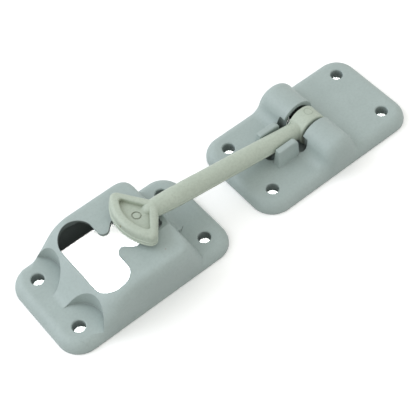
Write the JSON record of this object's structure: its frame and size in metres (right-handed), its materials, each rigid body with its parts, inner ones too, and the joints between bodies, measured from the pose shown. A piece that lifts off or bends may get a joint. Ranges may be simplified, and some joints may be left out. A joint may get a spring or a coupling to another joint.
{
  "type": "baggage door catch",
  "caption": "Baggage door catch: a hinge plate with a swinging T-headed arm and a hollow domed socket plate that holds the head.",
  "frame": {"origin": "middle of the hinge plate's four screw holes, on its flat back face", "axes": "+Z out of the wall the plates are screwed to, +X along the closed arm from the socket plate towards the hinge plate, +Y along the hinge axis"},
  "size_m": [0.193, 0.0508, 0.03],
  "materials": {
    "plate_plastic": "satin moulded",
    "arm_plastic": "satin moulded",
    "pin_steel": "drawn"
  },
  "bodies": {
    "plates": {"hook_plate": "plate_plastic", "hinge_pin": "pin_steel", "socket_plate": "plate_plastic"},
    "arm": {"arm": "arm_plastic"}
  },
  "joints": [
    {"name": "arm_swing", "type": "hinge", "parent": "plates", "child": "arm", "pos_m": [0.0005, 0, 0.0082], "axis": [0, 1, 0], "range_deg": [0, 155]}
  ]
}
